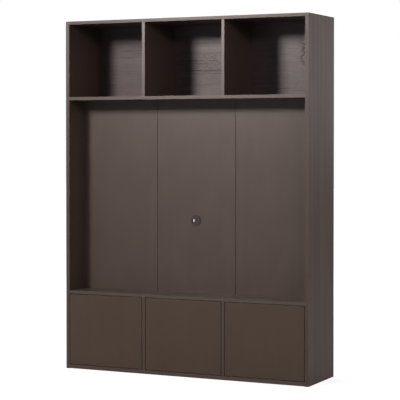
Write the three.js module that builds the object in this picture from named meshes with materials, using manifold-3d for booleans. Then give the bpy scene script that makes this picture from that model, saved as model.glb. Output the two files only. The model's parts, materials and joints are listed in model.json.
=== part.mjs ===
// A tall television cabinet: open compartments on top, a niche in the middle, flush doors below.
// Lengths are in millimetres. X runs along the front, Y from front to back and Z up.
// The origin lies on the floor, below the middle of the cabinet.
import * as THREE from "three";
import { mergeVertices } from "three/addons/utils/BufferGeometryUtils.js";
import Module from "manifold-3d";

const wasm = await Module();
wasm.setup();

// Carcass
const cabinetWidth = 1650;
const cabinetHeight = 2200;
const cabinetDepth = 420;
const boardThickness = 20;
const outerBoardThickness = 24; // the sides and the bottom board
const floorGap = 2; // the bottom board hangs between the sides, just off the floor
const compartmentHeight = 458;
const cupboardHeight = 451;
const bayNames = ["left", "middle", "right"];

// Thin backs, let into rabbets behind the compartments and the cupboards
const backThickness = 8;
const backInset = 1.5; // from the cabinet's rear to the thin backs
const rabbetWidth = 10;
const backEdgeGap = 0.5;

// False back of the niche and the rails that carry it
const nicheDepth = 190;
const nichePanelThickness = 16;
const nicheSeamWidth = 1.5;
const nicheSeamChamfer = 1.2;
const nicheTopGap = 0.5;
const nicheGrooveDepth = 5; // the panels stand in a groove in the deck, each on a tongue
const nicheTongueSetback = 1; // from a panel's face to its tongue
const railHeight = 80;
const railThickness = 20;
const middleRailZ = 1200;

// Cable holes and the grommet behind the screen
const cableHoleRadius = 30;
const cableHoleSides = 32;
const backHoleDrop = 180; // from the deck down to the holes in the lower back
const screenHoleZ = 950;
const grommetBore = 26;
const grommetFlangeRadius = 35;
const grommetFlangeThickness = 2;
const grommetLedgeWidth = 2; // a ledge inside the flange carries the lid
const grommetFit = 0.3;
const lidThickness = 2.5;
const lidChamfer = 0.5;
const lidNotchWidth = 20;
const lidNotchReach = 12; // from the lid's middle to the notch
const lidNotchCornerRadius = 4;

// Doors
const doorThickness = 18;
const doorGap = 3;
const doorHingeSides = ["left", "left", "right"];

// Hinges, each one turning in a cup that is sunk in the door's rear face
const hingeEndDistance = 80; // from the door's top and bottom edges
const pivotInset = 19; // from the door's edge to the pin
const pivotDepth = 10; // from the door's front face to the pin
const pinRadius = 1.5;
const pinClearance = 0.1;
const pinEndInset = 0.8;
const pinSides = 16;
const cupRadius = 17.5;
const cupInset = 21.5; // from the door's edge to the cup's centre
const cupDepth = 12.5;
const cupBoreClearance = 0.25;
const cupWall = 1.2;
const cupSides = 32;
const pocketWidth = 14;
const flangeThickness = 1.2;
const flangeRim = 1.5;
const wingSpan = 60;
const wingWidth = 14;
const wingCornerRadius = 5;
const wingOffset = 6; // the wings' screws sit behind the cup's centre
const cupScrewSpacing = 48;
const cupScrewRadius = 2.2;

// Hinge arm: a bent strip that hooks round the door's edge, with a channel at its rear
const armThickness = 1.8;
const armWidth = 12;
const knuckleRadius = 2.9;
const hookClearance = 1.2;
const leavingAngle = THREE.MathUtils.degToRad(37);
const hookTipLength = 3.5;
const hookTipRadius = 2.5;
const armBendRadius = 5;
const armRise = 9.5; // from the post's face to the middle of the strip
const channelStart = 50; // from the cabinet's front
const channelLength = 48;
const channelLipDepth = 5.5;
const channelLipThickness = 1.4;
const adjustSlotLength = 9;
const adjustSlotWidth = 5;
const adjustSlotCornerRadius = 2.4;
const adjustSlotInset = 12;

// Mounting plate under the arm
const plateThickness = 2.5;
const plateWingSpan = 48;
const plateWingWidth = 14;
const plateWingCornerRadius = 6.5;
const plateWingInset = 16; // from the channel's front end to the wings' middle
const plateScrewSpacing = 32;
const plateScrewRadius = 2.4;
const plateRailWidth = 11.4;
const plateRailEndGap = 2;

// Push latches under the deck, and their strikers on the doors
const latchInset = 42; // from the free edge's post to the plunger
const latchDrop = 13; // from the deck's underside to the plunger's middle
const latchBodyRadius = 8;
const latchBodyLength = 64;
const latchFlangeWidth = 34;
const latchFlangeThickness = 3;
const latchFlangeLength = 40;
const latchFlangeInset = 12;
const latchScrewSpread = 25;
const latchScrewRadius = 2;
const plungerRadius = 4;
const plungerClearance = 0.4;
const plungerProud = 7;
const plungerLength = 48;
const plungerTravel = 3;
const plungerTipRadius = 5;
const plungerTipLength = 3;
const strikerSize = 15;
const strikerThickness = 1.5;
const strikerCornerRadius = 2;
const strikerScrewRadius = 1.6;

// Wall brackets under the rear edge of the shelf
const bracketWidth = 60;
const bracketLeg = 45;
const bracketThickness = 2.5;
const bracketInset = 180; // from each side's inner face to the bracket's middle
const bracketHoleSpread = 36;
const bracketScrewRadius = 2.5;
const wallScrewRadius = 4.5;

// Small gap between a fitting and the board that it is screwed to
const seatGap = 0.3;
const cutOverrun = 1;
const arcSteps = 5;
const screwSides = 12;

// Places worked out from the sizes above
const outerX = cabinetWidth / 2;
const innerX = outerX - outerBoardThickness;
const frontY = -cabinetDepth / 2;
const rearY = cabinetDepth / 2;
const backRearY = rearY - backInset;
const backY = backRearY - backThickness;
const topUnderZ = cabinetHeight - boardThickness;
const shelfTopZ = topUnderZ - compartmentHeight;
const shelfUnderZ = shelfTopZ - boardThickness;
const bottomTopZ = floorGap + outerBoardThickness;
const deckUnderZ = bottomTopZ + cupboardHeight;
const deckTopZ = deckUnderZ + boardThickness;
const grooveFloorZ = deckTopZ - nicheGrooveDepth;
const nicheY = frontY + nicheDepth;
const railY = nicheY + nichePanelThickness;
const railRearY = railY + railThickness;
const doorRearY = frontY + doorThickness;
const doorLowZ = bottomTopZ + doorGap;
const doorHighZ = deckUnderZ - doorGap;
const dividerCount = bayNames.length - 1;
const bayWidth = (2 * innerX - dividerCount * boardThickness) / bayNames.length;

const bays = bayNames.map((name, i) => {
  const left = -innerX + i * (bayWidth + boardThickness);
  return { name, left, right: left + bayWidth, middle: left + bayWidth / 2 };
});

// Finishes
const colours = { wood: 0x54463e, woodInside: 0x51433b, nickel: 0xa9a8a4, steel: 0x8d8c89, plastic: 0x3b322d };
const lacqueredWood = () =>
  new THREE.MeshStandardMaterial({ color: colours.wood, roughness: 0.62, metalness: 0 });
const thinBoard = () =>
  new THREE.MeshStandardMaterial({ color: colours.woodInside, roughness: 0.7, metalness: 0 });
const nickelPlate = () =>
  new THREE.MeshStandardMaterial({ color: colours.nickel, roughness: 0.3, metalness: 1 });
const zincSteel = () =>
  new THREE.MeshStandardMaterial({ color: colours.steel, roughness: 0.42, metalness: 1 });
const brownPlastic = () =>
  new THREE.MeshStandardMaterial({ color: colours.plastic, roughness: 0.5, metalness: 0 });

const cabinet = new THREE.Group();

function addMesh(parent, name, geometry, material) {
  const mesh = new THREE.Mesh(geometry, material);
  mesh.name = name;
  parent.add(mesh);
  return mesh;
}

// Solid operations
function solidFrom(geometry) {
  const bare = geometry.index ? geometry.toNonIndexed() : geometry.clone();
  bare.deleteAttribute("normal");
  bare.deleteAttribute("uv");
  const merged = mergeVertices(bare);
  const mesh = new wasm.Mesh({
    numProp: 3,
    vertProperties: merged.getAttribute("position").array,
    triVerts: new Uint32Array(merged.index.array),
  });
  return new wasm.Manifold(mesh);
}

function geometryFrom(solid) {
  const mesh = solid.getMesh();
  const geometry = new THREE.BufferGeometry();
  geometry.setAttribute("position", new THREE.BufferAttribute(mesh.vertProperties, 3));
  geometry.setIndex(new THREE.BufferAttribute(mesh.triVerts, 1));
  geometry.computeVertexNormals();
  return geometry;
}

function cut(geometry, tools) {
  const whole = solidFrom(geometry);
  return geometryFrom(tools.reduce((left, tool) => left.subtract(solidFrom(tool)), whole));
}

function join(geometries) {
  const [first, ...others] = geometries.map(solidFrom);
  return geometryFrom(others.reduce((sum, other) => sum.add(other), first));
}

function common(a, b) {
  return geometryFrom(solidFrom(a).intersect(solidFrom(b)));
}

// A box between its lowest and its highest corner
function boxBetween(low, high) {
  const geometry = new THREE.BoxGeometry(1, 1, 1);
  const corners = geometry.getAttribute("position");
  for (let i = 0; i < corners.count; i += 1) {
    corners.setXYZ(
      i,
      corners.getX(i) < 0 ? low[0] : high[0],
      corners.getY(i) < 0 ? low[1] : high[1],
      corners.getZ(i) < 0 ? low[2] : high[2],
    );
  }
  return geometry;
}

// A cylinder along Y between two depths
function cylinderY(radius, x, z, lowY, highY, sides) {
  const geometry = new THREE.CylinderGeometry(radius, radius, highY - lowY, sides);
  return geometry.translate(x, (lowY + highY) / 2, z);
}

// A cylinder along Z between two heights
function cylinderZ(radius, x, y, lowZ, highZ, sides) {
  const geometry = new THREE.CylinderGeometry(radius, radius, highZ - lowZ, sides);
  return geometry.rotateX(Math.PI / 2).translate(x, y, (lowZ + highZ) / 2);
}

// A cylinder along X between two places
function cylinderX(radius, y, z, lowX, highX, sides) {
  const geometry = new THREE.CylinderGeometry(radius, radius, highX - lowX, sides);
  return geometry.rotateZ(Math.PI / 2).translate((lowX + highX) / 2, y, z);
}

// An outline in the X-Y plane, raised from one height to another
function prismZ(shape, lowZ, highZ) {
  const options = { depth: highZ - lowZ, bevelEnabled: false, curveSegments: arcSteps };
  return new THREE.ExtrudeGeometry(shape, options).translate(0, 0, lowZ);
}

// An outline in the X-Z plane, pushed back from one depth to another
function prismY(shape, lowY, highY) {
  const options = { depth: highY - lowY, bevelEnabled: false, curveSegments: arcSteps };
  return new THREE.ExtrudeGeometry(shape, options).rotateX(Math.PI / 2).translate(0, highY, 0);
}

// A rectangle with round corners, about its middle
function roundedRectangle(width, height, radius, middleX = 0, middleY = 0) {
  const x = width / 2 - radius;
  const y = height / 2 - radius;
  const shape = new THREE.Shape();
  shape.absarc(middleX + x, middleY + y, radius, 0, Math.PI / 2);
  shape.absarc(middleX - x, middleY + y, radius, Math.PI / 2, Math.PI);
  shape.absarc(middleX - x, middleY - y, radius, Math.PI, 1.5 * Math.PI);
  shape.absarc(middleX + x, middleY - y, radius, 1.5 * Math.PI, 2 * Math.PI);
  shape.closePath();
  return shape;
}

// Carcass boards
function buildCarcass() {
  const carcass = new THREE.Group();
  const rabbetTop = topUnderZ + rabbetWidth;

  // Each side has two stopped rabbets behind its inner rear edge, one for each thin back
  for (const [name, hand] of [["left", -1], ["right", 1]]) {
    const along = (a, b) => (hand < 0 ? [-b, -a] : [a, b]);
    const block = (x0, x1, y0, y1, z0, z1) => {
      const [low, high] = along(x0, x1);
      return boxBetween([low, y0, z0], [high, y1, z1]);
    };
    const rabbet = (z0, z1) =>
      block(innerX - cutOverrun, innerX + rabbetWidth, backY, rearY + cutOverrun, z0, z1);
    const side = cut(block(innerX, outerX, frontY, rearY, 0, cabinetHeight), [
      rabbet(-cutOverrun, deckTopZ + backEdgeGap),
      rabbet(shelfUnderZ - backEdgeGap, rabbetTop),
    ]);
    addMesh(carcass, `${name}_side`, side, lacqueredWood());
  }

  const top = cut(boxBetween([-innerX, frontY, topUnderZ], [innerX, rearY, cabinetHeight]), [
    boxBetween(
      [-innerX - cutOverrun, backY, topUnderZ - cutOverrun],
      [innerX + cutOverrun, rearY + cutOverrun, rabbetTop],
    ),
  ]);
  addMesh(carcass, "top_board", top, lacqueredWood());

  const shelf = boxBetween([-innerX, frontY, shelfUnderZ], [innerX, backY, shelfTopZ]);
  addMesh(carcass, "upper_shelf", shelf, lacqueredWood());

  // The deck has a groove for the niche's false back, and behind it a cable hole for each cupboard
  const groove = boxBetween(
    [-innerX - cutOverrun, nicheY, grooveFloorZ],
    [innerX + cutOverrun, railY, deckTopZ + cutOverrun],
  );
  const deckHoles = bays.map((bay) =>
    cylinderZ(
      cableHoleRadius,
      bay.middle,
      (railRearY + backY) / 2,
      deckUnderZ - cutOverrun,
      deckTopZ + cutOverrun,
      cableHoleSides,
    ),
  );
  const deckBoard = boxBetween([-innerX, frontY, deckUnderZ], [innerX, backY, deckTopZ]);
  addMesh(carcass, "niche_deck", cut(deckBoard, [groove, ...deckHoles]), lacqueredWood());

  const bottom = boxBetween([-innerX, frontY, floorGap], [innerX, backY, bottomTopZ]);
  addMesh(carcass, "bottom_board", bottom, lacqueredWood());

  // Dividers stand between each pair of neighbouring bays, above and below the niche
  for (let i = 0; i < dividerCount; i += 1) {
    const low = bays[i].right;
    const high = bays[i + 1].left;
    const upper = boxBetween([low, frontY, shelfTopZ], [high, backY, topUnderZ]);
    const lower = boxBetween([low, frontY, bottomTopZ], [high, backY, deckUnderZ]);
    addMesh(carcass, `upper_divider_${i + 1}`, upper, lacqueredWood());
    addMesh(carcass, `lower_divider_${i + 1}`, lower, lacqueredWood());
  }

  const backHalfWidth = innerX + rabbetWidth - backEdgeGap;
  const upperBack = boxBetween(
    [-backHalfWidth, backY, shelfUnderZ],
    [backHalfWidth, backRearY, rabbetTop - backEdgeGap],
  );
  addMesh(carcass, "upper_back", upperBack, thinBoard());

  const backHoles = bays.map((bay) =>
    cylinderY(
      cableHoleRadius,
      bay.middle,
      deckUnderZ - backHoleDrop,
      backY - cutOverrun,
      rearY + cutOverrun,
      cableHoleSides,
    ),
  );
  const lowerBack = cut(
    boxBetween([-backHalfWidth, backY, floorGap], [backHalfWidth, backRearY, deckTopZ]),
    backHoles,
  );
  addMesh(carcass, "lower_back", lowerBack, thinBoard());
  return carcass;
}

// False back of the niche
function buildNiche() {
  const niche = new THREE.Group();

  bays.forEach((bay, i) => {
    const atLeftSide = i === 0;
    const atRightSide = i === bays.length - 1;
    const seamLeft = atLeftSide ? 0 : nicheSeamWidth / 2;
    const seamRight = atRightSide ? 0 : nicheSeamWidth / 2;
    const low = atLeftSide ? -innerX : bay.left - boardThickness / 2 + seamLeft;
    const high = atRightSide ? innerX : bay.right + boardThickness / 2 - seamRight;
    const chamferLeft = atLeftSide ? 0 : nicheSeamChamfer;
    const chamferRight = atRightSide ? 0 : nicheSeamChamfer;

    // Seen from above: the front corners are chamfered where two panels meet
    const outline = new THREE.Shape();
    outline.moveTo(low, railY);
    if (chamferLeft > 0) outline.lineTo(low, nicheY + chamferLeft);
    outline.lineTo(low + chamferLeft, nicheY);
    outline.lineTo(high - chamferRight, nicheY);
    if (chamferRight > 0) outline.lineTo(high, nicheY + chamferRight);
    outline.lineTo(high, railY);
    outline.closePath();
    const panel = prismZ(outline, grooveFloorZ, shelfUnderZ - nicheTopGap);
    const tools = [
      boxBetween(
        [low - cutOverrun, nicheY - cutOverrun, grooveFloorZ - cutOverrun],
        [high + cutOverrun, nicheY + nicheTongueSetback, deckTopZ],
      ),
    ];
    if (bay.name === "middle") {
      const holeRadius = cableHoleRadius + grommetFit;
      const hole = [nicheY - cutOverrun, railY + cutOverrun];
      tools.push(cylinderY(holeRadius, bay.middle, screenHoleZ, ...hole, cableHoleSides));
    }
    addMesh(niche, `niche_back_${bay.name}`, cut(panel, tools), lacqueredWood());
  });

  const rails = [
    ["niche_rail_top", shelfUnderZ - railHeight, shelfUnderZ],
    ["niche_rail_middle", middleRailZ - railHeight / 2, middleRailZ + railHeight / 2],
    ["niche_rail_bottom", deckTopZ, deckTopZ + railHeight],
  ];
  for (const [name, lowZ, highZ] of rails) {
    const rail = boxBetween([-innerX, railY, lowZ], [innerX, railRearY, highZ]);
    addMesh(niche, name, rail, thinBoard());
  }

  const grommet = new THREE.Group();
  grommet.position.set(0, nicheY, screenHoleZ);
  addMesh(grommet, "cable_grommet", grommetRing(), brownPlastic());
  addMesh(grommet, "cable_grommet_lid", grommetLid(), brownPlastic());
  niche.add(grommet);
  return niche;
}

// The grommet is a sleeve through the panel with a flange on its face
// Here y = 0 is the panel's face, and the lid lies on a ledge, level with the flange's front
const flangeFrontY = -grommetFlangeThickness - grommetFit;
const lidSeatRadius = grommetBore + grommetLedgeWidth;

function grommetRing() {
  const sleeveRadius = cableHoleRadius - grommetFit;
  const ledgeY = flangeFrontY + lidThickness + grommetFit;
  const profile = [
    [lidSeatRadius, flangeFrontY],
    [grommetFlangeRadius - grommetFlangeThickness / 2, flangeFrontY],
    [grommetFlangeRadius, -grommetFit - grommetFlangeThickness / 2],
    [grommetFlangeRadius, -grommetFit],
    [sleeveRadius, -grommetFit],
    [sleeveRadius, nichePanelThickness],
    [grommetBore, nichePanelThickness],
    [grommetBore, ledgeY],
    [lidSeatRadius, ledgeY],
    [lidSeatRadius, flangeFrontY],
  ].map(([r, y]) => new THREE.Vector2(r, y));
  return new THREE.LatheGeometry(profile, cableHoleSides);
}

// The lid is a disc with a notch in its left edge, where the cables come out
function grommetLid() {
  const lidRadius = lidSeatRadius - grommetFit;
  const lidRearY = flangeFrontY + lidThickness;
  const profile = [
    [0, flangeFrontY],
    [lidRadius - lidChamfer, flangeFrontY],
    [lidRadius, flangeFrontY + lidChamfer],
    [lidRadius, lidRearY],
    [0, lidRearY],
  ].map(([r, y]) => new THREE.Vector2(r, y));
  const disc = new THREE.LatheGeometry(profile, cableHoleSides);

  // The notch's outer corners lie past the lid's edge, so only its inner ones are round
  const notchOuterX = lidRadius + lidNotchCornerRadius;
  const notch = roundedRectangle(
    notchOuterX - lidNotchReach,
    lidNotchWidth,
    lidNotchCornerRadius,
    -(notchOuterX + lidNotchReach) / 2,
  );
  return cut(disc, [prismY(notch, flangeFrontY - cutOverrun, lidRearY + cutOverrun)]);
}

// Hinge arm, seen from above with the post's face at x = 0 and the cabinet's front at y = 0
const pivotX = doorGap + pivotInset;
const sweptRadius = Math.hypot(pivotInset, pivotDepth);
const hookRadius = sweptRadius + hookClearance + armThickness / 2;

// Points along a line with round corners; a corner is [x, y, radius]
function roundedPath(corners) {
  const points = [new THREE.Vector2(corners[0][0], corners[0][1])];
  for (let i = 1; i < corners.length - 1; i += 1) {
    const here = new THREE.Vector2(corners[i][0], corners[i][1]);
    const radius = corners[i][2];
    const toLast = new THREE.Vector2(...corners[i - 1].slice(0, 2)).sub(here).normalize();
    const toNext = new THREE.Vector2(...corners[i + 1].slice(0, 2)).sub(here).normalize();
    const halfAngle = Math.acos(toLast.dot(toNext)) / 2;
    const bisector = toLast.clone().add(toNext).normalize();
    const centre = here.clone().addScaledVector(bisector, radius / Math.sin(halfAngle));
    const start = here.clone().addScaledVector(toLast, radius / Math.tan(halfAngle)).sub(centre);
    const turnSign = Math.sign(toLast.x * toNext.y - toLast.y * toNext.x);
    const sweep = -turnSign * (Math.PI - 2 * halfAngle);
    for (let k = 0; k <= arcSteps; k += 1) {
      const spoke = start.clone().rotateAround(new THREE.Vector2(), (sweep * k) / arcSteps);
      points.push(spoke.add(centre));
    }
  }
  const last = corners[corners.length - 1];
  points.push(new THREE.Vector2(last[0], last[1]));
  return points;
}

// The outline of a strip of even thickness along a line of points
function stripOutline(points, thickness) {
  const offset = (side) =>
    points.map((point, i) => {
      const before = points[Math.max(i - 1, 0)];
      const after = points[Math.min(i + 1, points.length - 1)];
      const along = after.clone().sub(before).normalize();
      return new THREE.Vector2(-along.y, along.x).multiplyScalar((side * thickness) / 2).add(point);
    });
  return new THREE.Shape([...offset(1), ...offset(-1).reverse()]);
}

function hingeArm() {
  const topY = pivotDepth + hookRadius;
  const tipDistance = Math.hypot(hookRadius, hookTipLength);
  const tangentAngle = leavingAngle + Math.atan2(hookTipLength, hookRadius);
  const shoulderAngle = (Math.PI / 2 + tangentAngle) / 2;
  const shoulderDistance = hookRadius / Math.cos(Math.PI / 2 - shoulderAngle);
  const fromPivot = (distance, angle, radius) => [
    pivotX + distance * Math.cos(angle),
    pivotDepth + distance * Math.sin(angle),
    radius,
  ];
  const line = roundedPath([
    [armRise, channelStart + channelLength],
    [armRise, topY, armBendRadius],
    fromPivot(shoulderDistance, shoulderAngle, hookRadius),
    fromPivot(tipDistance, leavingAngle, hookTipRadius),
    fromPivot(knuckleRadius / 2, leavingAngle, 0),
  ]);
  const strip = prismZ(stripOutline(line, armThickness), -armWidth / 2, armWidth / 2);
  const knuckle = cylinderZ(knuckleRadius, pivotX, pivotDepth, -armWidth / 2, armWidth / 2, pinSides);

  // Lips on both sides make the rear of the strip a channel, which sits over the plate's rail
  const channelEnd = channelStart + channelLength;
  const channelHalf = armWidth / 2 + channelLipThickness;
  const webLow = armRise - armThickness / 2;
  const web = boxBetween(
    [webLow, channelStart, -channelHalf],
    [armRise + armThickness / 2, channelEnd, channelHalf],
  );
  const lips = [-1, 1].map((hand) =>
    boxBetween(
      [webLow - channelLipDepth, channelStart, hand < 0 ? -channelHalf : armWidth / 2],
      [armRise, channelEnd, hand < 0 ? -armWidth / 2 : channelHalf],
    ),
  );
  const slotMiddle = channelEnd - adjustSlotInset;
  const slot = roundedRectangle(adjustSlotWidth, adjustSlotLength, adjustSlotCornerRadius);
  const slotTool = prismZ(slot, 0, armRise * 2)
    .rotateY(Math.PI / 2)
    .translate(0, slotMiddle, 0);
  const hole = cylinderZ(
    pinRadius + pinClearance,
    pivotX,
    pivotDepth,
    -armWidth / 2 - cutOverrun,
    armWidth / 2 + cutOverrun,
    pinSides,
  );
  return cut(join([strip, knuckle, web, ...lips]), [slotTool, hole]);
}

// Hinge cup: a round body sunk in the door, with a pocket for the arm and two screw wings
function hingeCup() {
  const cupX = doorGap + cupInset;
  const floorY = doorThickness - cupDepth;
  const flangeY = doorThickness + seatGap;
  const rearFaceY = flangeY + flangeThickness;
  const body = cylinderY(cupRadius, cupX, 0, floorY, rearFaceY, cupSides);
  const rim = cylinderY(cupRadius + flangeRim, cupX, 0, flangeY, rearFaceY, cupSides);
  const wingShape = roundedRectangle(wingWidth, wingSpan, wingCornerRadius, cupX + wingOffset);
  const wings = prismY(wingShape, flangeY, rearFaceY);
  const pocketTop = rearFaceY + cutOverrun;
  const pocketRound = cylinderY(cupRadius - cupWall, cupX, 0, floorY + cupWall, pocketTop, cupSides);
  const pocketSlot = boxBetween(
    [cupX - cupRadius, floorY, -pocketWidth / 2],
    [cupX + cupRadius, pocketTop + cutOverrun, pocketWidth / 2],
  );
  const pinBore = cylinderZ(
    pinRadius + pinClearance,
    pivotX,
    pivotDepth,
    -cupRadius - cutOverrun,
    cupRadius + cutOverrun,
    pinSides,
  );
  const screwHoles = [-1, 1].map((hand) =>
    cylinderY(
      cupScrewRadius,
      cupX + wingOffset,
      (hand * cupScrewSpacing) / 2,
      flangeY - cutOverrun,
      rearFaceY + cutOverrun,
      screwSides,
    ),
  );
  const whole = join([body, rim, wings]);
  return cut(whole, [common(pocketRound, pocketSlot), pinBore, ...screwHoles]);
}

function hingePin() {
  const pivotOffset = cupInset - pivotInset;
  const halfChord = Math.sqrt(cupRadius ** 2 - pivotOffset ** 2);
  const halfLength = halfChord - pinEndInset;
  return cylinderZ(pinRadius, pivotX, pivotDepth, -halfLength, halfLength, pinSides);
}

// Mounting plate: two screw wings on the post and a rail that the arm's channel sits over
function hingePlate() {
  const wingY = channelStart + plateWingInset;
  const wingTop = seatGap + plateThickness;
  const wingShape = roundedRectangle(plateWingSpan, plateWingWidth, plateWingCornerRadius);
  const wings = prismZ(wingShape, seatGap, wingTop)
    .rotateY(Math.PI / 2)
    .translate(0, wingY, 0);
  const rail = boxBetween(
    [seatGap, channelStart + plateRailEndGap, -plateRailWidth / 2],
    [
      armRise - armThickness / 2 - seatGap,
      channelStart + channelLength - plateRailEndGap,
      plateRailWidth / 2,
    ],
  );
  const screwHoles = [-1, 1].map((hand) =>
    cylinderX(
      plateScrewRadius,
      wingY,
      (hand * plateScrewSpacing) / 2,
      -cutOverrun,
      wingTop + cutOverrun,
      screwSides,
    ),
  );
  return cut(join([wings, rail]), screwHoles);
}

// Push latch: a housing under the deck with a sprung plunger
// Here y = 0 is the door's rear face, z = 0 the deck's underside and x = 0 the plunger's middle
const strikerRearY = seatGap + strikerThickness;
const plungerFrontY = strikerRearY + seatGap;
const housingFrontY = plungerFrontY + plungerProud;

function latchHousing() {
  const topZ = -seatGap;
  const profile = new THREE.Shape();
  profile.moveTo(latchBodyRadius, topZ);
  profile.lineTo(-latchBodyRadius, topZ);
  profile.lineTo(-latchBodyRadius, -latchDrop);
  profile.absarc(0, -latchDrop, latchBodyRadius, Math.PI, 2 * Math.PI);
  profile.closePath();
  const body = prismY(profile, housingFrontY, housingFrontY + latchBodyLength);
  const flangeStart = housingFrontY + latchFlangeInset;
  const flange = boxBetween(
    [-latchFlangeWidth / 2, flangeStart, topZ - latchFlangeThickness],
    [latchFlangeWidth / 2, flangeStart + latchFlangeLength, topZ],
  );
  const boreDepth = plungerLength - plungerProud + plungerTravel + cutOverrun;
  const bore = cylinderY(
    plungerRadius + plungerClearance,
    0,
    -latchDrop,
    housingFrontY - cutOverrun,
    housingFrontY + boreDepth,
    pinSides,
  );
  const screwHoles = [-1, 1].map((hand) =>
    cylinderZ(
      latchScrewRadius,
      (hand * latchScrewSpread) / 2,
      flangeStart + latchFlangeLength / 2,
      topZ - latchFlangeThickness - cutOverrun,
      topZ + cutOverrun,
      screwSides,
    ),
  );
  return cut(join([body, flange]), [bore, ...screwHoles]);
}

function latchPlunger() {
  const profile = [
    [0, 0],
    [plungerTipRadius, 0],
    [plungerTipRadius, plungerTipLength],
    [plungerRadius, plungerTipLength],
    [plungerRadius, plungerLength],
    [0, plungerLength],
  ].map(([r, y]) => new THREE.Vector2(r, y));
  return new THREE.LatheGeometry(profile, pinSides).translate(0, plungerFrontY, -latchDrop);
}

function strikerPlate() {
  const outline = roundedRectangle(strikerSize, strikerSize, strikerCornerRadius);
  const hole = new THREE.Path();
  hole.absarc(0, 0, strikerScrewRadius, 0, 2 * Math.PI);
  outline.holes.push(hole);
  return prismY(outline, seatGap, strikerRearY).translate(0, 0, -latchDrop);
}

// Doors with their hinges and latches
function buildDoor(bay, hingeSide) {
  const group = new THREE.Group();
  const hingedLeft = hingeSide === "left";
  const inward = hingedLeft ? 1 : -1;
  const postX = hingedLeft ? bay.left : bay.right;
  const freeX = hingedLeft ? bay.right : bay.left;
  const hingeHeights = { lower: doorLowZ + hingeEndDistance, upper: doorHighZ - hingeEndDistance };

  const cupBores = Object.values(hingeHeights).map((z) =>
    cylinderY(
      cupRadius + cupBoreClearance,
      postX + inward * (doorGap + cupInset),
      z,
      doorRearY - cupDepth - seatGap,
      doorRearY + cutOverrun,
      cupSides,
    ),
  );
  const leaf = boxBetween(
    [bay.left + doorGap, frontY, doorLowZ],
    [bay.right - doorGap, doorRearY, doorHighZ],
  );
  addMesh(group, `${bay.name}_door`, cut(leaf, cupBores), lacqueredWood());

  for (const [level, z] of Object.entries(hingeHeights)) {
    const hinge = new THREE.Group();
    hinge.position.set(postX, frontY, z);
    hinge.scale.x = inward;
    const prefix = `${bay.name}_door_${level}_hinge`;
    addMesh(hinge, `${prefix}_cup`, hingeCup(), nickelPlate());
    addMesh(hinge, `${prefix}_pin`, hingePin(), zincSteel());
    addMesh(hinge, `${prefix}_arm`, hingeArm(), nickelPlate());
    addMesh(hinge, `${prefix}_plate`, hingePlate(), zincSteel());
    group.add(hinge);
  }

  const latch = new THREE.Group();
  latch.position.set(freeX - inward * latchInset, doorRearY, deckUnderZ);
  addMesh(latch, `${bay.name}_latch_housing`, latchHousing(), brownPlastic());
  addMesh(latch, `${bay.name}_latch_plunger`, latchPlunger(), brownPlastic());
  addMesh(latch, `${bay.name}_door_striker`, strikerPlate(), zincSteel());
  group.add(latch);
  return group;
}

// Wall brackets, flush with the cabinet's rear, screwed up into the shelf
function buildBracket(name, x) {
  const outline = new THREE.Shape();
  outline.moveTo(0, 0);
  outline.lineTo(-bracketLeg, 0);
  outline.lineTo(-bracketLeg, -bracketThickness);
  outline.lineTo(-bracketThickness * 2, -bracketThickness);
  outline.quadraticCurveTo(-bracketThickness, -bracketThickness, -bracketThickness, -bracketThickness * 2);
  outline.lineTo(-bracketThickness, -bracketLeg);
  outline.lineTo(0, -bracketLeg);
  outline.closePath();
  const angle = new THREE.ExtrudeGeometry(outline, {
    depth: bracketWidth,
    bevelEnabled: false,
    curveSegments: arcSteps,
  });
  // The outline's x runs to the rear and its y up
  angle.rotateX(Math.PI / 2).rotateZ(Math.PI / 2).translate(-bracketWidth / 2, 0, 0);
  const shelfScrews = [-1, 1].map((hand) =>
    cylinderZ(
      bracketScrewRadius,
      (hand * bracketHoleSpread) / 2,
      -bracketLeg / 2,
      -bracketThickness - cutOverrun,
      cutOverrun,
      screwSides,
    ),
  );
  const wallScrew = cylinderY(
    wallScrewRadius,
    0,
    -bracketLeg / 2,
    -bracketThickness - cutOverrun,
    cutOverrun,
    screwSides,
  );
  const bracket = addMesh(cabinet, name, cut(angle, [...shelfScrews, wallScrew]), zincSteel());
  bracket.position.set(x, rearY, shelfUnderZ - seatGap);
}

cabinet.add(buildCarcass());
cabinet.add(buildNiche());
bays.forEach((bay, i) => cabinet.add(buildDoor(bay, doorHingeSides[i])));
buildBracket("wall_bracket_left", -innerX + bracketInset);
buildBracket("wall_bracket_right", innerX - bracketInset);

export default cabinet;
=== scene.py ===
"""Looks of a tall television cabinet: finishes, eased edges, small screws, camera, floor and light.

Lengths are in metres in the part's own frame: X along the front, Y from front to back, Z up.
"""
import json
import math

import bmesh
import bpy
from mathutils import Matrix, Vector


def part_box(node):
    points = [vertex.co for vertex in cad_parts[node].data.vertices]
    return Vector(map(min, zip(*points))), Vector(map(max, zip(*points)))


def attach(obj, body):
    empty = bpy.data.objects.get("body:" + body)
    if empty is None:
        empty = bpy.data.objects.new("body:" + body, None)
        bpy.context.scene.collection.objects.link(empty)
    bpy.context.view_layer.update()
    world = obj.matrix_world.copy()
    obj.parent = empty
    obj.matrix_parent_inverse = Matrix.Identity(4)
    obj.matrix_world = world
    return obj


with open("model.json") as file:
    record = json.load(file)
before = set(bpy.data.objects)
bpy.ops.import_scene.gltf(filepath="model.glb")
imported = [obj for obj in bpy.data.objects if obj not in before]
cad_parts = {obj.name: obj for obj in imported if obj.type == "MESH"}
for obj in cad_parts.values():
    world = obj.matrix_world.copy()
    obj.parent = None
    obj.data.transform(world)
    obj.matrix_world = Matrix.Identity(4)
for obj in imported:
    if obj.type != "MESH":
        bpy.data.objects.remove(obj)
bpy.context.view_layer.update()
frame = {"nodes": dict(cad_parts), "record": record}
nodes = frame["nodes"]
scene = bpy.context.scene

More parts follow.
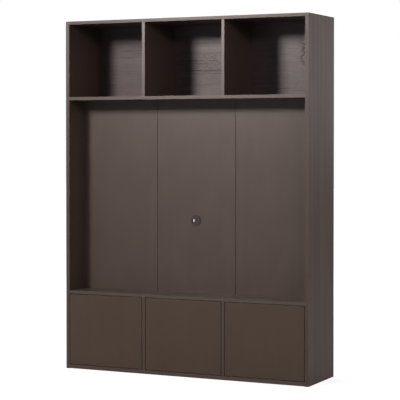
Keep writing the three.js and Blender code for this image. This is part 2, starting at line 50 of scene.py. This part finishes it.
MM = 0.001
BAYS = ("left", "middle", "right")
LEVELS = ("lower", "upper")
HUNG_ON_LEFT = {"left": True, "middle": True, "right": False}
WHITE = (1, 1, 1, 1)

# Camera, fitted to the corners of the carcass in the photograph
PHOTO_WIDTH_PX = 400
FOCAL_PX = 1478.1
SHIFT_DOWN_PX = 38
SENSOR_WIDTH_MM = 36
CAMERA_PLACE = (4.0024, -8.2948, 1.4822)
CAMERA_AZIMUTH = math.radians(25.663)
CAMERA_PITCH = math.radians(-1.046)


def make_camera():
    data = bpy.data.cameras.new("camera")
    data.sensor_width = SENSOR_WIDTH_MM
    data.lens = SENSOR_WIDTH_MM * FOCAL_PX / PHOTO_WIDTH_PX
    data.shift_y = -SHIFT_DOWN_PX / PHOTO_WIDTH_PX
    camera = bpy.data.objects.new("camera", data)
    camera.location = CAMERA_PLACE
    camera.rotation_euler = (math.pi / 2 + CAMERA_PITCH, 0, CAMERA_AZIMUTH)
    scene.collection.objects.link(camera)
    scene.camera = camera


class Graph:
    """Short calls that add and link the nodes of a material or a world."""

    def __init__(self, owner):
        owner.use_nodes = True
        self.tree = owner.node_tree
        self.tree.nodes.clear()

    def put(self, socket, value):
        """Links another node's output to the socket, or sets a plain value on it."""
        if isinstance(value, bpy.types.NodeSocket):
            self.tree.links.new(value, socket)
        else:
            socket.default_value = value

    def add(self, kind, inputs=None, **settings):
        """A node of that kind; inputs are named or numbered, and each is a value or another's output."""
        node = self.tree.nodes.new("ShaderNode" + kind)
        for name, value in settings.items():
            setattr(node, name, value)
        for key, value in (inputs or {}).items():
            self.put(node.inputs[key], value)
        return node

    def place(self):
        """Where a point of the object lies, in the part's own frame."""
        return self.add("TexCoord").outputs["Object"]

    def calc(self, operation, *values):
        """One arithmetic step on numbers or outputs."""
        return self.add("Math", dict(enumerate(values)), operation=operation).outputs[0]

    def centred(self, value):
        """Noise of 0 to 1, moved to lie evenly about 0."""
        return self.calc("SUBTRACT", value, 0.5)

    def span(self, value, low, high, to_low=0.0, to_high=1.0, smooth=True):
        """value from low to high, mapped to another span and held at its ends."""
        inputs = {"Value": value, "From Min": low, "From Max": high, "To Min": to_low, "To Max": to_high}
        kind = "SMOOTHSTEP" if smooth else "LINEAR"
        return self.add("MapRange", inputs, interpolation_type=kind).outputs[0]

    def between(self, value, low, high, fade):
        """1 from low to high, fading to 0 outside them."""
        rising = self.span(value, low - fade, low + fade)
        return self.calc("MULTIPLY", rising, self.span(value, high - fade, high + fade, 1.0, 0.0))

    def blend(self, factor, a, b):
        """Colour a where factor is 0, and b where it is 1."""
        node = self.add("Mix", data_type="RGBA")
        for socket, value in zip((node.inputs[0], node.inputs[6], node.inputs[7]), (factor, a, b)):
            self.put(socket, value)
        return node.outputs[2]

    def noise(self, place, grains, detail=2, distortion=0.0):
        """Noise of 0 to 1 with so many grains per metre on each axis."""
        stretched = self.add("VectorMath", {0: place, 1: grains}, operation="MULTIPLY").outputs[0]
        inputs = {"Vector": stretched, "Scale": 1.0, "Detail": detail, "Distortion": distortion}
        return self.add("TexNoise", inputs).outputs[0]

    def bump(self, shader, height, strength, depth):
        """Shades the surface as if it rose by depth where height is 1."""
        node = self.add("Bump", {"Strength": strength, "Distance": depth, "Height": height})
        self.put(shader.inputs["Normal"], node.outputs[0])


def linear(red, green, blue):
    """A colour given as sRGB from 0 to 255, in linear light."""

    def channel(v):
        v /= 255
        return v / 12.92 if v <= 0.04045 else ((v + 0.055) / 1.055) ** 2.4

    return (channel(red), channel(green), channel(blue), 1.0)


def scaled(colour, factor):
    """The colour made darker or paler."""
    return tuple(c * factor for c in colour[:3]) + (1.0,)


def surface(name, metallic=0.0):
    """A new material with a Principled shader. Returns the material, its graph and the shader."""
    material = bpy.data.materials.new(name)
    graph = Graph(material)
    shader = graph.add("BsdfPrincipled", {"Metallic": metallic})
    graph.add("OutputMaterial", {"Surface": shader.outputs[0]})
    return material, graph, shader


# The lacquer: its colour on most boards, on the upper back and on the doors, and its roughness
LACQUER = linear(74.5, 62, 54.5)
LACQUER_COOL = linear(70.5, 57.5, 57.0)
LACQUER_WARM = linear(76, 63.2, 53)
LACQUER_ROUGHNESS = 0.42
# Its pattern is a tone about the middle one. Shares of the colour and of the gloss at tones 0 and 1
TONE_MIDDLE = 0.5
COLOUR_SHARES = (0.4, 1.6)
GLOSS_SHARES = (0.2, 1.8)
# The veneer's patterns: grains per metre along, across and through the board, and the noise's detail
STRIPES = ((0.7, 27, 27), 3)
STREAKS = ((9, 140, 140), 3)
MOTTLE = ((4, 9, 9), 3)
FLECKS = ((110, 150, 150), 1)
FIBRE = ((14, 900, 900), 2)
FIBRE_TONE = 0.1
FIBRE_RELIEF = 0.1
MOTTLE_ROUGHNESS = 0.06
BOARD_SHIFT = (3.7, 1.9, 2.3)  # how far each board's pattern is moved from that of the board before it
# The axes along, across and through a board
GRAIN_UP = (2, 1, 0)
GRAIN_UP_FRONT = (2, 0, 1)
GRAIN_LEVEL = (0, 1, 2)
GRAIN_LEVEL_BACK = (0, 2, 1)

# The figure of the upper back. Its pore lines: from x, to x, height, half width and strength
PORE_LINES = (
    (-0.24, 0.26, 1.955, 0.005, 1.0),
    (-0.24, 0.26, 1.938, 0.004, 0.5),
    (-0.20, 0.26, 1.893, 0.005, 0.8),
    (-0.16, 0.2, 1.872, 0.004, 0.4),
    (-0.2, 0.26, 2.002, 0.004, 0.5),
    (-0.1, 0.26, 2.064, 0.004, 0.5),
    (-0.62, -0.28, 2.03, 0.004, 0.7),
    (-0.72, -0.28, 1.985, 0.004, 0.6),
    (-0.6, -0.28, 2.008, 0.003, 0.4),
    (0.3, 0.78, 1.775, 0.004, 0.6),
    (0.34, 0.78, 1.757, 0.003, 0.5),
    (0.36, 0.6, 1.93, 0.003, 0.3),
)
PORE_FADE = 0.05
# How far the lines wander up and down, slowly and quickly, and the grains per metre of each
PORE_DRIFT, PORE_DRIFT_GRAINS = 0.014, (3, 1, 7)
PORE_JITTER, PORE_JITTER_GRAINS = 0.014, (42, 1, 30)
# The noise that breaks the lines up: its grains, its levels from broken to whole, and what a break leaves
PORE_BREAK_GRAINS, PORE_BREAK_LEVELS, PORE_BREAK_LEFT = (19, 1, 90), (0.36, 0.54), 0.15
# The rough patch: its middle and its reach in x and z, the share of the reach where it begins to fade,
# its strength and its dashes
ROUGH_MIDDLE = (0.03, 1.93)
ROUGH_REACH = (0.3, 0.09)
ROUGH_FADE_START = 0.55
ROUGH_STRENGTH = 0.55
DASH_GRAINS, DASH_DISTORTION, DASH_LEVELS = (55, 1, 230), 0.1, (0.52, 0.7)
# The knot's zigzag rim: where it stands, how far its teeth reach, its half width, its ends and its strength
KNOT_X = 0.626
KNOT_TEETH, KNOT_TEETH_GRAINS = 0.13, (7, 0, 80)
KNOT_LINE = 0.01
KNOT_ENDS, KNOT_FADE = (1.915, 2.065), 0.01
KNOT_STRENGTH = 0.95
# What the open pores do to the tone and to the roughness
PORE_DARKNESS = 0.42
PORE_ROUGHNESS = 0.25


def figure(g, place):
    """How deep the figure's open pores are: wavy broken lines, a rough patch and a knot's zigzag rim."""
    x, _, z = g.add("SeparateXYZ", {0: place}).outputs
    drift = g.centred(g.noise(place, PORE_DRIFT_GRAINS))
    jitter = g.centred(g.noise(place, PORE_JITTER_GRAINS))
    level = g.calc("MULTIPLY_ADD", drift, PORE_DRIFT, z)
    level = g.calc("MULTIPLY_ADD", jitter, PORE_JITTER, level)
    deep = 0.0
    for low, high, height, width, strength in PORE_LINES:
        off = g.calc("ABSOLUTE", g.calc("SUBTRACT", level, height))
        line = g.span(off, 0.0, width, strength, 0.0)
        line = g.calc("MULTIPLY", line, g.between(x, low, high, PORE_FADE))
        deep = g.calc("MAXIMUM", deep, line)
    whole = g.span(g.noise(place, PORE_BREAK_GRAINS), *PORE_BREAK_LEVELS, PORE_BREAK_LEFT, 1.0)
    deep = g.calc("MULTIPLY", deep, whole)

    shares = [
        g.calc("DIVIDE", g.calc("SUBTRACT", value, middle), reach)
        for value, middle, reach in zip((x, z), ROUGH_MIDDLE, ROUGH_REACH)
    ]
    off_middle = g.add("CombineXYZ", dict(enumerate(shares))).outputs[0]
    distance = g.add("VectorMath", {0: off_middle}, operation="LENGTH").outputs["Value"]
    rough = g.span(distance, ROUGH_FADE_START, 1.0, ROUGH_STRENGTH, 0.0)
    dashes = g.span(g.noise(place, DASH_GRAINS, distortion=DASH_DISTORTION), *DASH_LEVELS)
    deep = g.calc("MAXIMUM", deep, g.calc("MULTIPLY", dashes, rough))

    teeth = g.centred(g.noise(place, KNOT_TEETH_GRAINS))
    rim = g.calc("SUBTRACT", x, g.calc("MULTIPLY_ADD", teeth, KNOT_TEETH, KNOT_X))
    rim = g.span(g.calc("ABSOLUTE", rim), 0.0, KNOT_LINE, KNOT_STRENGTH, 0.0)
    return g.calc("MAXIMUM", deep, g.calc("MULTIPLY", rim, g.between(z, *KNOT_ENDS, KNOT_FADE)))


def wood(name, grain, seed, stripes=0.15, streaks=0.1, mottle=0.08, colour=LACQUER, gloss=0.5, figured=False):
    """Dark taupe lacquer over brushed veneer, its grain along the first axis of grain."""
    material, g, shader = surface(name)
    place = g.place()
    axes = g.add("SeparateXYZ", {0: place}).outputs
    along = g.add("CombineXYZ", {i: axes[axis] for i, axis in enumerate(grain)}).outputs[0]
    shift = tuple(seed * s for s in BOARD_SHIFT)
    board = g.add("VectorMath", {0: along, 1: shift}, operation="ADD").outputs[0]

    fibre = g.noise(board, *FIBRE)
    mottled = g.noise(board, *MOTTLE)
    layers = (
        (g.noise(board, *STRIPES), stripes),
        (g.noise(board, *STREAKS), streaks),
        (mottled, mottle),
        (g.noise(board, *FLECKS), streaks),
        (fibre, FIBRE_TONE),
    )
    tone = TONE_MIDDLE
    for layer, strength in layers:
        tone = g.calc("MULTIPLY_ADD", g.centred(layer), strength, tone)
    relief = g.calc("MULTIPLY", fibre, FIBRE_RELIEF)
    rough = g.calc("MULTIPLY_ADD", g.centred(mottled), MOTTLE_ROUGHNESS, LACQUER_ROUGHNESS)
    if figured:
        pores = figure(g, place)
        tone = g.calc("MULTIPLY_ADD", pores, -PORE_DARKNESS, tone)
        relief = g.calc("SUBTRACT", relief, pores)
        rough = g.calc("MULTIPLY_ADD", pores, PORE_ROUGHNESS, rough)

    g.put(shader.inputs["Base Color"], g.blend(tone, *(scaled(colour, share) for share in COLOUR_SHARES)))
    dull, glossy = (share * gloss for share in GLOSS_SHARES)
    g.put(shader.inputs["Specular IOR Level"], g.calc("MULTIPLY_ADD", tone, glossy - dull, dull))
    g.put(shader.inputs["Roughness"], rough)
    g.bump(shader, relief, strength=0.25, depth=0.15 * MM)
    return material


# The fittings' finishes: their darker and paler colours
NICKEL_COLOURS = ((0.6, 0.58, 0.55, 1), (0.72, 0.705, 0.68, 1))
ZINC_COLOURS = ((0.36, 0.37, 0.38, 1), (0.58, 0.585, 0.59, 1))
PLASTIC_COLOURS = (linear(50, 41, 36), linear(64, 54, 48))
SPANGLES_PER_METRE = 420
SPANGLE_SHARE = 0.35


def tint(g, shader, tone, colours, tones, roughness):
    """Colour and roughness that follow tone: the colours at 0 and 1, the roughness at the two tones."""
    g.put(shader.inputs["Base Color"], g.blend(tone, *colours))
    g.put(shader.inputs["Roughness"], g.span(tone, *tones, *roughness, smooth=False))


def nickel(name):
    """Nickel plate over pressed steel, with the faint pull marks of the press."""
    material, g, shader = surface(name, metallic=1.0)
    cloud = g.noise(g.place(), grains=(60, 60, 60), detail=3)
    pull = g.noise(g.place(), grains=(1400, 1400, 220))
    tint(g, shader, cloud, NICKEL_COLOURS, tones=(0.3, 0.7), roughness=(0.36, 0.42))
    g.bump(shader, pull, strength=0.03, depth=0.02 * MM)
    return material


def zinc(name):
    """Zinc plate, cooler and duller than the nickel, with small grey spangles."""
    material, g, shader = surface(name, metallic=1.0)
    cells = g.add("TexVoronoi", {"Vector": g.place(), "Scale": SPANGLES_PER_METRE}).outputs["Color"]
    cloud = g.noise(g.place(), grains=(45, 45, 45), detail=3)
    spangle = g.calc("MULTIPLY_ADD", cells, SPANGLE_SHARE, g.calc("MULTIPLY", cloud, 1 - SPANGLE_SHARE))
    tint(g, shader, spangle, ZINC_COLOURS, tones=(0.2, 0.8), roughness=(0.34, 0.5))
    g.bump(shader, cloud, strength=0.1, depth=0.05 * MM)
    return material


def moulded_plastic(name):
    """Dark brown plastic with the fine spark texture of its mould."""
    material, g, shader = surface(name)
    cloud = g.noise(g.place(), grains=(35, 35, 35))
    spark = g.noise(g.place(), grains=(1500, 1500, 1500))
    tint(g, shader, cloud, PLASTIC_COLOURS, tones=(0.3, 0.7), roughness=(0.44, 0.54))
    g.bump(shader, spark, strength=0.3, depth=0.06 * MM)
    return material


# Looks of the boards, for wood()
PLAIN = {}
FRONT_EDGED = {"gloss": 0.8, "streaks": 0.03}
OUTER_SIDE = {"gloss": 0.6, "stripes": 0.5, "streaks": 0.2}
TOP = {"gloss": 0.5, "streaks": 0.03}
FIGURED_BACK = {"figured": True, "stripes": 0.3, "streaks": 0.36, "colour": LACQUER_COOL, "gloss": 0.64}
NICHE_BACK = {"stripes": 0.05, "streaks": 0.06, "mottle": 0.12, "gloss": 0.65}
DOOR = {"stripes": 0.05, "streaks": 0.05, "mottle": 0.1, "colour": LACQUER_WARM, "gloss": 0.4}
# Each board's grain and look. The place in the table is the seed of its pattern
BOARDS = {
    "left_side": (GRAIN_UP, FRONT_EDGED),
    "right_side": (GRAIN_UP, OUTER_SIDE),
    "upper_divider_1": (GRAIN_UP, FRONT_EDGED),
    "upper_divider_2": (GRAIN_UP, FRONT_EDGED),
    "lower_divider_1": (GRAIN_UP, PLAIN),
    "lower_divider_2": (GRAIN_UP, PLAIN),
    "top_board": (GRAIN_LEVEL, TOP),
    "upper_shelf": (GRAIN_LEVEL, FRONT_EDGED),
    "niche_deck": (GRAIN_LEVEL, FRONT_EDGED),
    "bottom_board": (GRAIN_LEVEL, FRONT_EDGED),
    "upper_back": (GRAIN_LEVEL_BACK, FIGURED_BACK),
    "lower_back": (GRAIN_LEVEL_BACK, PLAIN),
    "niche_rail_top": (GRAIN_LEVEL_BACK, PLAIN),
    "niche_rail_middle": (GRAIN_LEVEL_BACK, PLAIN),
    "niche_rail_bottom": (GRAIN_LEVEL_BACK, PLAIN),
}
for bay in BAYS:
    BOARDS[f"niche_back_{bay}"] = (GRAIN_UP_FRONT, NICHE_BACK)
    BOARDS[f"{bay}_door"] = (GRAIN_UP_FRONT, DOOR)


def dress(node, material):
    nodes[node].data.materials.clear()
    nodes[node].data.materials.append(material)


def finish_nodes():
    """Gives every CAD node its material, and returns the fittings' finishes by their slots."""
    for seed, (node, (grain, look)) in enumerate(BOARDS.items()):
        dress(node, wood(f"lacquer_{node}", grain, seed, **look))
    finishes = {
        "nickel": nickel("nickel"),
        "zinc_steel": zinc("zinc"),
        "brown_plastic": moulded_plastic("plastic"),
    }
    for part in frame["record"]["subparts"]:
        if part["material_slot"] in finishes:
            dress(part["node"], finishes[part["material_slot"]])
    return finishes


# Eased edges
DOOR_EASE = 1.5 * MM
BOARD_EASE = 0.8 * MM
METAL_EASE = 0.25 * MM
EASE_ANGLE = math.radians(40)
EASE_SEGMENTS = 3
WELD_REACH = 0.01 * MM


def ease_edges():
    """Rounds the sharp edges: the doors' most, the other boards' less and the fittings' least."""
    for name, part in nodes.items():
        part.modifiers.new("weld", "WELD").merge_threshold = WELD_REACH
        bevel = part.modifiers.new("ease", "BEVEL")
        bevel.width = DOOR_EASE if name.endswith("_door") else BOARD_EASE if name in BOARDS else METAL_EASE
        bevel.segments = EASE_SEGMENTS
        bevel.limit_method = "ANGLE"
        bevel.angle_limit = EASE_ANGLE


# Screw heads. The profile's points are shares of the head's radius and height
HEAD_SIDES = 24
HEAD_PROFILE = ((1.0, 0.0), (1.0, 0.3), (0.9, 0.65), (0.72, 0.9), (0.56, 1.0))
CROSS_POINTS = 12
CROSS_HALF_STEP = math.radians(15)
CROSS_REACH_SHARE = 0.46
CROSS_FLOOR_SHARE = 0.55
CROSS_DEPTH_SHARE = 0.6
# Each kind of screw: its slot, and its head's radius and height
CUP_SCREW = ("nickel", 3.6 * MM, 1.3 * MM)
PLATE_SCREW = ("nickel", 3.8 * MM, 1.5 * MM)
ARM_SCREW = ("nickel", 3.8 * MM, 1.6 * MM)
LATCH_SCREW = ("zinc_steel", 3 * MM, 1.2 * MM)
BRACKET_SCREW = ("zinc_steel", 4.2 * MM, 1.8 * MM)
BACK_SCREW = ("zinc_steel", 3.4 * MM, 0.9 * MM)


def add_head(mesh, place, facing, radius, height):
    """Adds a pan head with a cross recess, standing on place and looking along facing."""
    turn = Vector(facing).to_track_quat("Z", "Y").to_matrix().to_4x4()
    move = Matrix.Translation(place) @ turn

    def ring(reach, level):
        """A ring of corners; every second one stands in line with a corner of the cross."""
        angles = [2 * math.pi * i / HEAD_SIDES - CROSS_HALF_STEP for i in range(HEAD_SIDES)]
        points = [(reach * math.cos(a), reach * math.sin(a), level) for a in angles]
        return [mesh.verts.new(move @ Vector(p)) for p in points]

    def cross(reach, level):
        """The twelve corners of a cross, which lie 30 degrees apart."""
        half_width = reach * math.tan(CROSS_HALF_STEP)
        points = []
        for quarter in range(4):
            spin = Matrix.Rotation(quarter * math.pi / 2, 3, "Z")
            for x, y in ((reach, -half_width), (reach, half_width), (half_width, half_width)):
                points.append(spin @ Vector((x, y, level)))
        return [mesh.verts.new(move @ p) for p in points]

    rings = [ring(r * radius, h * height) for r, h in HEAD_PROFILE]
    for low, high in zip(rings, rings[1:]):
        for i in range(HEAD_SIDES):
            j = (i + 1) % HEAD_SIDES
            mesh.faces.new((low[i], low[j], high[j], high[i])).smooth = True
    mesh.faces.new(rings[0][::-1])

    rim = cross(CROSS_REACH_SHARE * radius, height)
    floor = cross(CROSS_REACH_SHARE * CROSS_FLOOR_SHARE * radius, height * (1 - CROSS_DEPTH_SHARE))
    top = rings[-1]
    for i in range(CROSS_POINTS):
        j = (i + 1) % CROSS_POINTS
        here, half, there = top[2 * i], top[2 * i + 1], top[(2 * i + 2) % HEAD_SIDES]
        mesh.faces.new((here, half, rim[i]))
        mesh.faces.new((half, rim[j], rim[i]))
        mesh.faces.new((half, there, rim[j]))
        mesh.faces.new((rim[i], rim[j], floor[j], floor[i]))
    mesh.faces.new(floor)


def make_screws(finishes, name, body, screw, facing, places):
    """One piece that holds several like screw heads on one body."""
    slot, radius, height = screw
    mesh = bmesh.new()
    for place in places:
        add_head(mesh, Vector(place), facing, radius, height)
    data = bpy.data.meshes.new(name)
    mesh.to_mesh(data)
    mesh.free()
    data.materials.append(finishes[slot])
    piece = bpy.data.objects.new(name, data)
    scene.collection.objects.link(piece)
    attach(piece, body)


# Places of the screws, from the fittings' own boxes
CUP_WING_OFFSET = 6 * MM
CUP_SCREW_SPACING = 48 * MM
PLATE_WING_INSET = 14 * MM
PLATE_WING_HEIGHT = 2.5 * MM
PLATE_SCREW_SPACING = 32 * MM
ARM_SLOT_INSET = 12 * MM
ARM_SLOT_HEIGHT = 10.1 * MM
LATCH_SCREW_SPACING = 25 * MM
LATCH_FLANGE_INSET = 32 * MM
LATCH_FLANGE_DROP = 3 * MM
BRACKET_SCREW_SPACING = 36 * MM
BRACKET_THICKNESS = 2.5 * MM
BACK_SCREW_INSET = 5 * MM
BACK_LOWEST_SCREW_INSET = 10 * MM
BACK_SCREW_COLUMNS = 7
BACK_POST_COLUMNS = (0, 2, 4, 6)
BACK_SCREW_ROWS = 4


def pair(middle, spacing):
    """Two places, spacing apart about the middle one."""
    return middle - spacing / 2, middle + spacing / 2


def screw_hinges(finishes):
    for bay in BAYS:
        inward = 1 if HUNG_ON_LEFT[bay] else -1
        facing = (inward, 0, 0)
        for level in LEVELS:
            hinge = f"{bay}_door_{level}_hinge"
            low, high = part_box(f"{hinge}_cup")
            middle = (low + high) / 2
            x = middle.x + inward * CUP_WING_OFFSET
            places = [(x, high.y, z) for z in pair(middle.z, CUP_SCREW_SPACING)]
            make_screws(finishes, f"{hinge}_cup_screws", f"{bay}_door", CUP_SCREW, (0, 1, 0), places)

            low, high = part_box(f"{hinge}_plate")
            foot = low.x if inward > 0 else high.x
            x, y = foot + inward * PLATE_WING_HEIGHT, low.y + PLATE_WING_INSET
            places = [(x, y, z) for z in pair((low.z + high.z) / 2, PLATE_SCREW_SPACING)]
            make_screws(finishes, f"{hinge}_plate_screws", "cabinet", PLATE_SCREW, facing, places)

            low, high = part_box(f"{hinge}_arm")
            places = [(foot + inward * ARM_SLOT_HEIGHT, high.y - ARM_SLOT_INSET, (low.z + high.z) / 2)]
            make_screws(finishes, f"{hinge}_arm_screw", "cabinet", ARM_SCREW, facing, places)


def screw_latches(finishes):
    for bay in BAYS:
        low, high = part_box(f"{bay}_latch_housing")
        y, z = low.y + LATCH_FLANGE_INSET, high.z - LATCH_FLANGE_DROP
        places = [(x, y, z) for x in pair((low.x + high.x) / 2, LATCH_SCREW_SPACING)]
        make_screws(finishes, f"{bay}_latch_screws", "cabinet", LATCH_SCREW, (0, 0, -1), places)


def screw_brackets(finishes):
    for side in ("left", "right"):
        low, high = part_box(f"wall_bracket_{side}")
        y, z = (low.y + high.y) / 2, high.z - BRACKET_THICKNESS
        places = [(x, y, z) for x in pair((low.x + high.x) / 2, BRACKET_SCREW_SPACING)]
        make_screws(finishes, f"wall_bracket_{side}_screws", "cabinet", BRACKET_SCREW, (0, 0, -1), places)


def spread(low, high, count):
    """Evenly spaced places from low to high."""
    return [low + (high - low) * i / (count - 1) for i in range(count)]


def screw_backs(finishes):
    """Screws through the thin backs, into the level boards and into the sides and dividers before them."""
    for back in ("upper_back", "lower_back"):
        low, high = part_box(back)
        columns = spread(low.x + BACK_SCREW_INSET, high.x - BACK_SCREW_INSET, BACK_SCREW_COLUMNS)
        rows = spread(low.z + BACK_LOWEST_SCREW_INSET, high.z - BACK_SCREW_INSET, BACK_SCREW_ROWS)
        places = [(x, high.y, z) for x in columns for z in (rows[0], rows[-1])]
        places += [(columns[i], high.y, z) for i in BACK_POST_COLUMNS for z in rows[1:-1]]
        make_screws(finishes, f"{back}_screws", "cabinet", BACK_SCREW, (0, 1, 0), places)


# Light and surroundings
WORLD_LEVEL = 0.375
WORLD_COLOUR = (1.0, 0.96, 0.951, 1)
# The world's level in reflections, from the front to behind the cabinet, and where it changes
GLOSS_LEVELS = (0.05, 0.08)
GLOSS_TURN = (-0.5, 0.6)
FLOOR_SIZE = 60
FLOOR_COLOUR = (0.43, 0.43, 0.43, 1)
# The floor's own glow as the camera sees it, and the distances from the cabinet between which it rises
FLOOR_GLOWS = (0.8, 1.0)
FLOOR_DISTANCES = (2.5, 6)
FLOOR_GLOSS_GLOW = 0.04

# Each lamp is a soft ellipse: its place, the point it looks at, its width and height, how widely it
# spreads, its power in watts and its colour
LAMPS = {
    "key": ((-1.6, -3.88, 3.22), (0.1, 0, 1.85), (0.76, 0.9), 140, 87, (1.0, 0.915, 0.882)),
    "fill": ((4.46, -3.81, 3.22), (0, 0, 2.2), (0.8, 0.8), 150, 40, (1.0, 0.885, 0.886)),
    "front": ((-1.5, -7.5, 1.0), (0, 0, 1.1), (3.0, 2.0), 180, 10, (0.8, 0.76, 1.0)),
    "side": ((5.5, 2.5, 2.2), (0.8, 0, 1.1), (1.5, 1.5), 180, 65, (1.0, 0.869, 0.834)),
    "sheen": ((2.8, 5.7, 2.2), (0.8, 0.2, 1.3), (2.0, 2.0), 180, 9.8, (0.98, 0.945, 1.0)),
    "rear": ((-3.6, 4.2, 3.4), (0, 0, 1.1), (2.4, 2.4), 180, 120, (1.0, 1.0, 1.0)),
}


def rays(graph):
    """1 on rays that show the surroundings straight or through something clear, and 1 on glossy rays."""
    path = graph.add("LightPath").outputs
    return graph.calc("MAXIMUM", path["Is Camera Ray"], path["Is Transmission Ray"]), path["Is Glossy Ray"]


def make_world():
    """A white studio: plain soft light, white to the eye, and a dim room in reflections."""
    world = bpy.data.worlds.new("studio")
    scene.world = world
    g = Graph(world)
    straight, glossy = rays(g)
    direction = g.add("TexCoord").outputs["Generated"]
    rearward = g.add("SeparateXYZ", {0: direction}).outputs[1]
    gloss_level = g.span(rearward, *GLOSS_TURN, *GLOSS_LEVELS)
    level = g.calc("MULTIPLY_ADD", glossy, g.calc("SUBTRACT", gloss_level, WORLD_LEVEL), WORLD_LEVEL)
    level = g.calc("MAXIMUM", level, straight)
    background = g.add("Background", {"Color": g.blend(straight, WORLD_COLOUR, WHITE), "Strength": level})
    g.add("OutputWorld", {"Surface": background.outputs[0]})


def make_floor():
    """A pale floor that keeps the soft shadow under the cabinet and fades into the white behind it."""
    mesh = bmesh.new()
    bmesh.ops.create_grid(mesh, x_segments=1, y_segments=1, size=FLOOR_SIZE / 2)
    data = bpy.data.meshes.new("floor")
    mesh.to_mesh(data)
    mesh.free()
    floor = bpy.data.objects.new("floor", data)
    scene.collection.objects.link(floor)
    material = bpy.data.materials.new("floor")
    g = Graph(material)
    straight, glossy = rays(g)
    distance = g.add("VectorMath", {0: g.place()}, operation="LENGTH").outputs["Value"]
    glow = g.calc("MULTIPLY", straight, g.span(distance, *FLOOR_DISTANCES, *FLOOR_GLOWS))
    glow = g.calc("MULTIPLY_ADD", glossy, FLOOR_GLOSS_GLOW, glow)
    diffuse = g.add("BsdfDiffuse", {"Color": FLOOR_COLOUR})
    emission = g.add("Emission", {"Color": WHITE, "Strength": glow})
    both = g.add("AddShader", {0: diffuse.outputs[0], 1: emission.outputs[0]})
    g.add("OutputMaterial", {"Surface": both.outputs[0]})
    data.materials.append(material)


def make_lamps():
    for name, (place, target, size, spread_degrees, power, colour) in LAMPS.items():
        data = bpy.data.lights.new(name, "AREA")
        data.shape = "ELLIPSE"
        data.size, data.size_y = size
        data.spread = math.radians(spread_degrees)
        data.energy = power
        data.color = colour
        lamp = bpy.data.objects.new(name, data)
        lamp.location = place
        lamp.rotation_euler = (Vector(target) - Vector(place)).to_track_quat("-Z", "Y").to_euler()
        scene.collection.objects.link(lamp)


make_camera()
make_world()
make_floor()
make_lamps()
finishes = finish_nodes()
ease_edges()
screw_hinges(finishes)
screw_latches(finishes)
screw_brackets(finishes)
screw_backs(finishes)

scene.view_settings.view_transform = "Standard"
